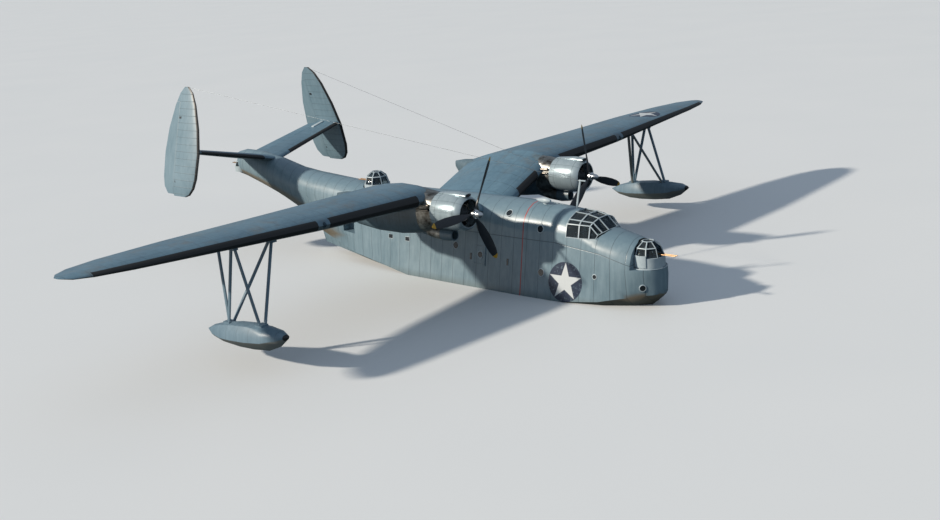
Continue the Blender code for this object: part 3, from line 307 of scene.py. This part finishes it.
for piece in ("fin", "rudder"):
    for hand_name in ("port", "starboard"):
        dressed(f"{piece}_{hand_name}", fin_paint)


# Nacelles and oil cooler scoops: painted alloy, with a bare heat-stained band just behind each cowl
# where the exhaust leaves, and soot trailing aft from it.
nacelle_paint, tree, shader, place, (x, y, z) = new_finish("nacelle paint and stained alloy", 0.40)
tone = weathered(tree, place, "5F7480", "4A5C66")
band = add(tree, "Math", x, 1.02, operation="SUBTRACT")
band = add(tree, "Math", band, operation="ABSOLUTE")
band = add(tree, "MapRange", band, 0.37, 0.36, 0.0, 1.0)
stain = add(tree, "TexNoise", place, None, 3.0, 5.0, 0.7)
stain = add(tree, "MapRange", stain, 0.35, 0.65, 0.0, 1.0)
metal = add(tree, "MixRGB", stain, srgb("B4B4AF"), srgb("4C453E"))
tone = add(tree, "MixRGB", band, tone, metal)
stretched = add(tree, "Mapping", place, (0, 0, 0), (0, 0, 0), (0.35, 3.0, 3.0))
soot = add(tree, "TexNoise", stretched, None, 1.0, 4.0, 0.6)
soot = add(tree, "MapRange", soot, 0.48, 0.72, 0.0, 0.6)
aft = add(tree, "MapRange", x, 0.7, -1.6, 1.0, 0.0)
soot = add(tree, "Math", soot, aft, operation="MULTIPLY")
tone = add(tree, "MixRGB", soot, tone, srgb("3A3835"))
joints = seam(tree, x, 0.74, 0.65, 0.012)
line_share = add(tree, "Math", joints, 0.4, operation="MULTIPLY")
tone = add(tree, "MixRGB", line_share, tone, srgb("333D44"))
tree.links.new(tone, shader.inputs["Base Color"])
tree.links.new(band, shader.inputs["Metallic"])
for hand_name in ("port", "starboard"):
    dressed("nacelle_" + hand_name, nacelle_paint)
    dressed("oil_cooler_" + hand_name, nacelle_paint)


# Cowls: spun alloy rings in bright paint. A joint runs round behind the lip, four run along, and
# the cooling flaps at the rear edge are drawn by their gaps.
cowl_paint, tree, shader, place, (x, y, z) = new_finish("bright cowl paint", 0.26, 0.35)
tone = weathered(tree, place, "A9B8BF", "8FA0A8")
out = add(tree, "Math", y, operation="ABSOLUTE")
beside = add(tree, "Math", out, 3.57, operation="SUBTRACT")
above = add(tree, "Math", z, 3.65, operation="SUBTRACT")
turn = add(tree, "Math", above, beside, operation="ARCTAN2")
flap_gap = seam(tree, turn, math.radians(22.5), 0.0, 0.02)
at_rear = add(tree, "MapRange", x, 1.66, 1.65, 0.0, 1.0)
flap_gap = add(tree, "Math", flap_gap, at_rear, operation="MULTIPLY")
panel = seam(tree, turn, math.radians(90), math.radians(45), 0.012)
hoops = [add(tree, "Math", add(tree, "Math", x, spot, operation="SUBTRACT"), operation="ABSOLUTE") for spot in (1.66, 2.52)]
hoops = [add(tree, "MapRange", hoop, 0.005, 0.012, 1.0, 0.0) for hoop in hoops]
lines = most(tree, [flap_gap, panel, *hoops])
line_share = add(tree, "Math", lines, 0.6, operation="MULTIPLY")
tone = add(tree, "MixRGB", line_share, tone, srgb("2E3438"))
reach = add(tree, "VectorMath", add(tree, "CombineXYZ", 0.0, beside, above), operation="LENGTH").node.outputs["Value"]
# Painted shade: the ring's inner face, within about 0.5 m of the shaft, is painted near-black
painted_inner_shade = add(tree, "MapRange", reach, 0.535, 0.50, 0.0, 1.0)
tone = add(tree, "MixRGB", painted_inner_shade, tone, srgb("2A2C2D"))
tree.links.new(tone, shader.inputs["Base Color"])
for hand_name in ("port", "starboard"):
    dressed("cowl_" + hand_name, cowl_paint)


# Engines: fourteen air-cooled cylinders of dark finned castings round a grey crankcase.
engine_metal, tree, shader, place, (x, y, z) = new_finish("dark engine castings", 0.45, 0.85)
grease = add(tree, "TexNoise", place, None, 14.0, 4.0, 0.6)
out = add(tree, "Math", y, operation="ABSOLUTE")
beside = add(tree, "Math", out, 3.57, operation="SUBTRACT")
above = add(tree, "Math", z, 3.65, operation="SUBTRACT")
reach = add(tree, "VectorMath", add(tree, "CombineXYZ", 0.0, beside, above), operation="LENGTH").node.outputs["Value"]
case = add(tree, "MapRange", reach, 0.30, 0.27, 0.0, 1.0)
tone = add(tree, "MixRGB", grease, srgb("34363A"), srgb("1E1F21"))
tone = add(tree, "MixRGB", case, tone, srgb("70767B"))
# Real cooling fins stand 4 mm apart; these are 20 mm apart so that they show
fins = seam(tree, reach, 0.020, 0.0, 0.010)
tree.links.new(tone, shader.inputs["Base Color"])
bumps = add(tree, "Bump", 0.8, 0.006)
tree.links.new(fins, bumps.node.inputs["Height"])
tree.links.new(bumps, shader.inputs["Normal"])
for hand_name in ("port", "starboard"):
    dressed("engine_" + hand_name, engine_metal)


# Propellers: three alloy blades in black paint with yellow tips, in a polished hub with a bullet
# nose. Each turns about its own shaft, so the marks are measured from it.
for hand_name, hand in (("port", 1), ("starboard", -1)):
    blade_paint, tree, shader, place, (x, y, z) = new_finish("blade paint " + hand_name, 0.4)
    beside = add(tree, "Math", y, 3.57 * hand, operation="SUBTRACT")
    above = add(tree, "Math", z, 3.65, operation="SUBTRACT")
    flat = add(tree, "CombineXYZ", 0.0, beside, above)
    reach = add(tree, "VectorMath", flat, operation="LENGTH").node.outputs["Value"]
    scuffs = add(tree, "TexNoise", place, None, 6.0, 4.0, 0.6)
    tone = add(tree, "MixRGB", scuffs, srgb("1B1E24"), srgb("2B3038"))
    tip = add(tree, "MapRange", reach, 2.05, 2.055, 0.0, 1.0)
    tone = add(tree, "MixRGB", tip, tone, srgb("C79A2E"))
    hub = add(tree, "MapRange", reach, 0.185, 0.18, 0.0, 1.0)
    tone = add(tree, "MixRGB", hub, tone, srgb("C8CBCE"))
    tree.links.new(tone, shader.inputs["Base Color"])
    tree.links.new(hub, shader.inputs["Metallic"])
    rough = add(tree, "MapRange", hub, 0.0, 1.0, 0.42, 0.22)
    tree.links.new(rough, shader.inputs["Roughness"])
    dressed("propeller_" + hand_name, blade_paint)


# Floats and their struts: the same blue-grey alloy, with ring joints, and a grey weathered bottom.
float_paint, tree, shader, place, (x, y, z) = new_finish("blue-grey float paint", 0.4)
tone = weathered(tree, place, "708898", "5C7484")
rings = seam(tree, x, 0.62, 0.12, 0.012)
line_share = add(tree, "Math", rings, 0.45, operation="MULTIPLY")
tone = add(tree, "MixRGB", line_share, tone, srgb("3D4A52"))
normal = add(tree, "NewGeometry").node.outputs["Normal"]
facing_up = add(tree, "SeparateXYZ", normal).node.outputs[2]
bottom = add(tree, "MapRange", facing_up, -0.2, -0.45, 0.0, 1.0)
tone = add(tree, "MixRGB", bottom, tone, srgb("7C7F7C"))
bumper = add(tree, "MapRange", x, 2.22, 2.23, 0.0, 1.0)
tone = add(tree, "MixRGB", bumper, tone, srgb("1B1D20"))
tree.links.new(tone, shader.inputs["Base Color"])
for piece in ("float", "float_struts"):
    for hand_name in ("port", "starboard"):
        dressed(f"{piece}_{hand_name}", float_paint)


# Framing, turret drums and deck fittings: small painted alloy pieces, paler where hands and ropes
# have rubbed them.
frame_paint, tree, shader, place, (x, y, z) = new_finish("pale frame paint", 0.38)
rubbed = add(tree, "TexNoise", place, None, 5.0, 4.0, 0.6)
tone = add(tree, "MixRGB", rubbed, srgb("BECAD0"), srgb("93A5AF"))
tree.links.new(tone, shader.inputs["Base Color"])
for name in ("canopy_frame", "nose_turret", "dorsal_turret", "tail_turret", "aerial_mast", "direction_finder"):
    dressed(name, frame_paint)


# Glazing: clear moulded acrylic panes in the canopy and turret domes, faintly blue and scratched.
clear_pane, tree, shader, place, (x, y, z) = new_finish("clear acrylic", 0.05)
haze = add(tree, "TexNoise", place, None, 3.0, 4.0, 0.6)
tone = add(tree, "MixRGB", haze, srgb("8C9CA8"), srgb("76868F"))
tree.links.new(tone, shader.inputs["Base Color"])
rough = add(tree, "MapRange", haze, 0.4, 0.8, 0.02, 0.06)
tree.links.new(rough, shader.inputs["Roughness"])
shader.inputs["Transmission Weight"].default_value = 0.9
shader.inputs["IOR"].default_value = 1.15
for name in ("canopy_glass", "nose_dome", "dorsal_dome", "tail_dome"):
    dressed(name, clear_pane)


# Cabin: seats and instrument panel in flat green primer, worn dark at the edges.
cabin_primer, tree, shader, place, (x, y, z) = new_finish("cabin primer", 0.7)
wear = add(tree, "TexNoise", place, None, 4.0, 4.0, 0.6)
tone = add(tree, "MixRGB", wear, srgb("39402F"), srgb("22261F"))
tree.links.new(tone, shader.inputs["Base Color"])
for name in ("pilot_seat_port", "pilot_seat_starboard", "instrument_panel"):
    dressed(name, cabin_primer)


# Guns: browned steel, warm on the barrels.
gun_steel, tree, shader, place, (x, y, z) = new_finish("browned gun steel", 0.35, 0.8)
oil = add(tree, "TexNoise", place, None, 18.0, 3.0, 0.6)
tone = add(tree, "MixRGB", oil, srgb("8A6B4A"), srgb("54483C"))
tree.links.new(tone, shader.inputs["Base Color"])
for name in ("nose_guns", "dorsal_guns", "tail_guns"):
    dressed(name, gun_steel)


# Portholes: round panes in pale pressed rims along both hull sides, with two small square
# windows aft and the bow's round anchor window. The panes are opaque and near-black: painted shade of the unlit cabin
# behind the glass.
def finished(name, made, finish, body="airframe"):
    """Joins the made objects into one piece at the origin, with its finish and body."""
    bpy.ops.object.select_all(action="DESELECT")
    for part in made:
        part.select_set(True)
    bpy.context.view_layer.objects.active = made[0]
    if len(made) > 1:
        bpy.ops.object.join()
    piece = bpy.context.object
    piece.name = name
    bpy.ops.object.transform_apply(location=True, rotation=True, scale=True)
    bpy.ops.object.shade_smooth_by_angle(angle=math.radians(40))
    piece.data.materials.clear()
    piece.data.materials.append(finish)
    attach(piece, body)
    return piece


def square_to(normal):
    """The turn that points a primitive's Z along a normal."""
    return Vector(normal).to_track_quat("Z", "Y").to_euler()


# Painted shade: this opaque near-black finish stands for the unlit cabin seen through a pane, and for the shade inside
# vent slots and intake mouths
painted_shade_dark, tree, shader, place, (x, y, z) = new_finish("near-black painted shade for panes and openings", 0.12)
depth = add(tree, "TexNoise", place, None, 5.0, 3.0, 0.5)
tone = add(tree, "MixRGB", depth, srgb("14181C"), srgb("2A3238"))
tree.links.new(tone, shader.inputs["Base Color"])
# Columns: the pane's middle on the starboard side, its outward normal there, pane radius
PORTHOLES = (
    ((2.36, -0.835, 3.023), (0, -0.69, 0.72), 0.125),
    ((3.985, -1.006, 2.601), (0, -0.97, 0.24), 0.125),
    ((4.113, -1.288, 0.988), (0, -0.985, 0.175), 0.125),
    ((-0.234, -1.223, 1.537), (0, -0.985, 0.175), 0.125),
    ((1.085, -1.262, 1.314), (0, -0.985, 0.175), 0.115),
    ((6.482, -1.134, 1.093), (0.12, -0.98, 0.15), 0.07),
    ((8.273, -0.70, 0.80), (0.62, -0.78, -0.08), 0.10),
)
# Columns: as above, but half-width and half-height
SQUARE_WINDOWS = (
    ((-2.982, -1.217, 1.482), (0.0, -0.985, 0.175), (0.11, 0.08)),
    ((-4.041, -1.139, 1.466), (0.03, -0.985, 0.17), (0.11, 0.08)),
)
for hand_name, hand in (("port", 1), ("starboard", -1)):
    on_hull = {"rims": [], "panes": []}
    on_door = {"rims": [], "panes": []}
    for middle, normal, radius in PORTHOLES:
        on = on_door if middle[0] == 1.085 else on_hull
        spot = Vector((middle[0], -hand * middle[1], middle[2]))
        facing = Vector((normal[0], -hand * normal[1], normal[2])).normalized()
        turn = square_to(facing)
        bpy.ops.mesh.primitive_torus_add(
            major_radius=radius + 0.018, minor_radius=0.02, major_segments=32, minor_segments=10, location=spot, rotation=turn
        )
        on["rims"].append(bpy.context.object)
        bpy.ops.mesh.primitive_cylinder_add(vertices=32, radius=radius + 0.01, depth=0.03, location=spot, rotation=turn)
        on["panes"].append(bpy.context.object)
    for middle, normal, (half_width, half_height) in SQUARE_WINDOWS:
        spot = Vector((middle[0], -hand * middle[1], middle[2]))
        turn = Matrix.Rotation(hand * math.radians(10), 4, "X").to_euler()
        bpy.ops.mesh.primitive_cube_add(size=2, location=spot, rotation=turn, scale=(half_width + 0.02, 0.012, half_height + 0.02))
        on_hull["rims"].append(bpy.context.object)
        bpy.ops.mesh.primitive_cube_add(size=2, location=spot, rotation=turn, scale=(half_width, 0.018, half_height))
        on_hull["panes"].append(bpy.context.object)
    finished("porthole_rims_" + hand_name, on_hull["rims"], frame_paint)
    finished("porthole_panes_" + hand_name, on_hull["panes"], painted_shade_dark)
    finished("hatch_porthole_rim_" + hand_name, on_door["rims"], frame_paint, "hatch_" + hand_name)
    finished("hatch_porthole_pane_" + hand_name, on_door["panes"], painted_shade_dark, "hatch_" + hand_name)


# Vents: small slots in the starboard and port sides, ahead of and behind the side hatch, drawn as thin boxes in
# near-black painted shade for the dark inside of each slot.
# Columns: x, distance out, height, half-length, half-height
VENTS = ((0.592, 1.284, 1.197, 0.04, 0.13), (2.477, 1.281, 1.189, 0.04, 0.13), (1.51, 1.345, 0.76, 0.05, 0.15))
for hand_name, hand in (("port", 1), ("starboard", -1)):
    slots = []
    for slot_x, slot_y, slot_z, half_x, half_z in VENTS:
        lean = Matrix.Rotation(hand * math.radians(10), 4, "X").to_euler()
        bpy.ops.mesh.primitive_cube_add(
            size=2, location=(slot_x, hand * slot_y, slot_z), rotation=lean, scale=(half_x, 0.014, half_z)
        )
        slots.append(bpy.context.object)
    finished("vents_" + hand_name, slots, painted_shade_dark)


# Exhausts: two bare heat-stained stub pipes lie along each side of a nacelle behind the cowl.
stained_alloy, tree, shader, place, (x, y, z) = new_finish("heat-stained alloy", 0.3, 1.0)
stain = add(tree, "TexNoise", place, None, 6.0, 4.0, 0.6)
tone = add(tree, "MixRGB", stain, srgb("C9C6BF"), srgb("6E5A48"))
tree.links.new(tone, shader.inputs["Base Color"])
# Columns: distance beside the shaft, height above it, pipe radius
PIPES = ((0.60, 0.26, 0.055), (0.63, 0.10, 0.045))
for hand_name, hand in (("port", 1), ("starboard", -1)):
    pipes = []
    for side in (-1, 1):
        for beside, above, radius in PIPES:
            middle = (1.02, hand * 3.57 + side * beside, 3.65 + above)
            bpy.ops.mesh.primitive_cylinder_add(
                vertices=20, radius=radius, depth=0.60, location=middle, rotation=(0, math.radians(87), 0)
            )
            pipes.append(bpy.context.object)
            mouth = (0.74, middle[1] + side * 0.03, middle[2] - 0.03)
            bpy.ops.mesh.primitive_torus_add(
                major_radius=radius, minor_radius=0.014, major_segments=20, minor_segments=8, location=mouth,
                rotation=(0, math.radians(87), 0)
            )
            pipes.append(bpy.context.object)
    finished("exhaust_pipes_" + hand_name, pipes, stained_alloy)


# Engine fittings: a pair of push-rod tubes to each front cylinder, and the ignition ring in front of
# the crankcase, of plain drawn alloy.
for hand_name, hand in (("port", 1), ("starboard", -1)):
    rods = []
    for i in range(7):
        for side in (-5, 5):
            lean = math.tau * i / 7 + math.radians(side)
            spoke = Vector((0, math.sin(lean), math.cos(lean)))
            middle = Vector((2.46, hand * 3.57, 3.65)) + spoke * 0.35
            bpy.ops.mesh.primitive_cylinder_add(
                vertices=10, radius=0.012, depth=0.22, location=middle, rotation=square_to(spoke)
            )
            rods.append(bpy.context.object)
    bpy.ops.mesh.primitive_torus_add(
        major_radius=0.30, minor_radius=0.016, major_segments=40, minor_segments=8,
        location=(2.50, hand * 3.57, 3.65), rotation=(0, math.radians(90), 0)
    )
    rods.append(bpy.context.object)
    finished("engine_fittings_" + hand_name, rods, stained_alloy)


# Intake mouths: the hole at the front of the fairing on top of each cowl, drawn as a flat disc in near-black painted
# shade.
for hand_name, hand in (("port", 1), ("starboard", -1)):
    bpy.ops.mesh.primitive_cylinder_add(
        vertices=28, radius=1, depth=0.02, location=(2.778, hand * 3.57, 4.318), rotation=(0, math.radians(90), 0),
        scale=(0.05, 0.12, 1)
    )
    finished("intake_mouth_" + hand_name, [bpy.context.object], painted_shade_dark)


# Nose turret lip and side shields: a rolled alloy lip on the bow round the turret, and a curved pale
# plate on each side of the drum.
bpy.ops.mesh.primitive_torus_add(
    major_radius=0.668, minor_radius=0.013, major_segments=64, minor_segments=8, location=(8.10, 0, 1.468)
)
finished("bow_ledge_lip", [bpy.context.object], frame_paint)
shields = []
for side in (-1, 1):
    bpy.ops.mesh.primitive_cylinder_add(
        vertices=96, radius=0.606, depth=0.44, end_fill_type="NOTHING", location=(8.10, 0, 1.74)
    )
    shield = bpy.context.object
    bpy.ops.object.mode_set(mode="EDIT")
    for plane_x, drop_outer in ((7.86, False), (8.34, True)):
        bpy.ops.mesh.select_all(action="SELECT")
        bpy.ops.mesh.bisect(
            plane_co=(plane_x, 0, 0), plane_no=(1, 0, 0), clear_inner=not drop_outer, clear_outer=drop_outer
        )
    bpy.ops.mesh.select_all(action="SELECT")
    bpy.ops.mesh.bisect(plane_co=(0, 0, 0), plane_no=(0, side, 0), clear_inner=True)
    bpy.ops.object.mode_set(mode="OBJECT")
    sheet = shield.modifiers.new("sheet", "SOLIDIFY")
    sheet.thickness = 0.016
    sheet.offset = 1.0
    bpy.ops.object.modifier_apply(modifier=sheet.name)
    shields.append(shield)
finished("nose_shields", shields, frame_paint, "nose_turret")


# Tail fittings: three dark hinge brackets on each face of a fin, and a small raised fairing on the
# tailplane beside the port fin.
fitting_metal, tree, shader, place, (x, y, z) = new_finish("dark fitting metal", 0.5, 0.6)
grease = add(tree, "TexNoise", place, None, 20.0, 3.0, 0.5)
tone = add(tree, "MixRGB", grease, srgb("2B2F33"), srgb("454B50"))
tree.links.new(tone, shader.inputs["Base Color"])
CANT = math.radians(14.4)
for hand_name, hand in (("port", 1), ("starboard", -1)):
    brackets = []
    for up_fin in (0.65, 2.03, 3.54):
        for side in (-1, 1):
            middle = Vector((-14.10, hand * (4.74 - up_fin * math.sin(CANT) + side * 0.068), 3.08 + up_fin * math.cos(CANT) + side * 0.017))
            bpy.ops.mesh.primitive_cube_add(size=2, location=middle, rotation=(hand * CANT, 0, 0), scale=(0.07, 0.012, 0.045))
            brackets.append(bpy.context.object)
    finished("rudder_brackets_" + hand_name, brackets, fitting_metal)
bpy.ops.mesh.primitive_cube_add(size=2, location=(-13.60, 3.62, 5.00), rotation=(math.radians(13.9), 0, 0), scale=(0.10, 0.36, 0.07))
box = bpy.context.object
edges = box.modifiers.new("round edges", "BEVEL")
edges.width = 0.03
edges.segments = 3
bpy.ops.object.modifier_apply(modifier=edges.name)
finished("tailplane_fairing", [box], frame_paint)


# Landing lights: a round glass set in the grey gap of each wing's leading edge.
for hand_name, hand in (("port", 1), ("starboard", -1)):
    bpy.ops.mesh.primitive_uv_sphere_add(
        segments=24, ring_count=12, radius=1, location=(0.835, hand * 8.84, 4.21), scale=(0.09, 0.11, 0.11)
    )
    finished("landing_light_" + hand_name, [bpy.context.object], clear_pane)


# Aerial wires: taut stranded steel from the top of each fin to the mast behind the cockpit.
wire_steel, tree, shader, place, (x, y, z) = new_finish("stranded wire", 0.4, 0.9)
lay = add(tree, "TexNoise", place, None, 60.0, 2.0, 0.5)
tone = add(tree, "MixRGB", lay, srgb("6A7075"), srgb("3F4448"))
tree.links.new(tone, shader.inputs["Base Color"])
wires = []
for hand in (1, -1):
    start, end = Vector((-13.86, hand * 3.52, 7.84)), Vector((5.13, hand * 0.01, 4.33))
    bpy.ops.mesh.primitive_cylinder_add(
        vertices=8, radius=0.005, depth=(end - start).length, location=(start + end) / 2, rotation=square_to(end - start)
    )
    wires.append(bpy.context.object)
finished("aerial_wires", wires, wire_steel)


# Studio floor: one pale sheet at the waterline, which hides what would be under water.
bpy.ops.mesh.primitive_plane_add(size=6000, location=(0, 0, 0))
floor = bpy.context.object
floor.name = "floor"
floor_finish, tree, shader, place, (x, y, z) = new_finish("pale floor", 0.6)
mottle = add(tree, "TexNoise", place, None, 0.1, 2.0, 0.5)
tone = add(tree, "MixRGB", mottle, srgb("E2E5E7"), srgb("DCE0E3"))
# Light that bounces up from the floor is dimmed, as dark water would dim it
seen = add(tree, "LightPath").node.outputs["Is Camera Ray"]
tone = add(tree, "MixRGB", seen, srgb("4A5A62"), tone)
tree.links.new(tone, shader.inputs["Base Color"])
floor.data.materials.append(floor_finish)


# Light and camera: soft low sun from the starboard quarter, pale sky, and the photo's own viewpoint
sky = bpy.data.worlds.new("pale studio")
bpy.context.scene.world = sky
sky.use_nodes = True
sky.node_tree.nodes["Background"].inputs["Color"].default_value = srgb("C4D4E6")
sky.node_tree.nodes["Background"].inputs["Strength"].default_value = 0.5
SUN_RUN = Vector((0.503, 0.735, -0.47))
bpy.ops.object.light_add(type="SUN", rotation=SUN_RUN.to_track_quat("-Z", "Y").to_euler())
sun = bpy.context.object
sun.data.energy = 4.2
sun.data.angle = math.radians(2.5)
sun.data.color = srgb("FFF4E4")[:3]

CAMERA_PLACE = (30.8923, -34.1258, 13.1418)
AZIMUTH, ELEVATION, ROLL = (math.radians(angle) for angle in (42.7608, 15.1579, -4.353))
back = Vector((math.sin(AZIMUTH) * math.cos(ELEVATION), -math.cos(AZIMUTH) * math.cos(ELEVATION), math.sin(ELEVATION)))
right = Vector((math.cos(AZIMUTH), math.sin(AZIMUTH), 0))
up = back.cross(right)
right_rolled = right * math.cos(ROLL) + up * math.sin(ROLL)
up_rolled = up * math.cos(ROLL) - right * math.sin(ROLL)
pose = Matrix((right_rolled, up_rolled, back)).transposed().to_4x4()
pose.translation = CAMERA_PLACE
bpy.ops.object.camera_add()
camera = bpy.context.object
camera.matrix_world = pose
camera.data.lens = 44.69
camera.data.sensor_width = 36
camera.data.clip_end = 6000
bpy.context.scene.camera = camera
bpy.context.scene.view_settings.view_transform = "Standard"
